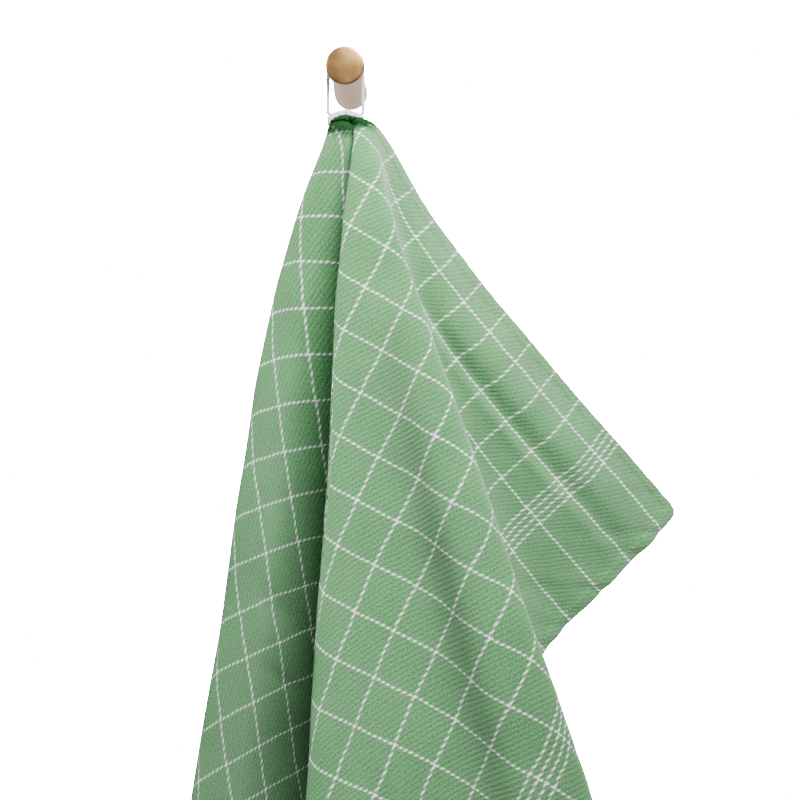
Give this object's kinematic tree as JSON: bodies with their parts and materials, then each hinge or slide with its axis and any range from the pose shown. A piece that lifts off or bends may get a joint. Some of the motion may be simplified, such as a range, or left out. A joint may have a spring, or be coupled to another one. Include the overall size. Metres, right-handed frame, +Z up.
{
  "type": "tea towel on a wall peg",
  "caption": "Checked cotton tea towel draped in soft folds, hung by a loop at the middle of its long side from a plain turned wall peg.",
  "frame": {"origin": "middle of the peg's flat back, which goes against the wall", "axes": "+Z up, +Y into the wall, so the towel hangs on the -Y side and +X is to the right of someone facing it"},
  "size_m": [0.3312, 0.1756, 0.6261],
  "materials": {
    "cloth": "green cotton twill with a fine white windowpane check",
    "loop": "white cotton",
    "peg": "smooth, softly polished"
  },
  "bodies": {
    "root": {"tea_towel": "cloth", "hanging_loop": "loop", "wall_peg": "peg"}
  },
  "joints": []
}
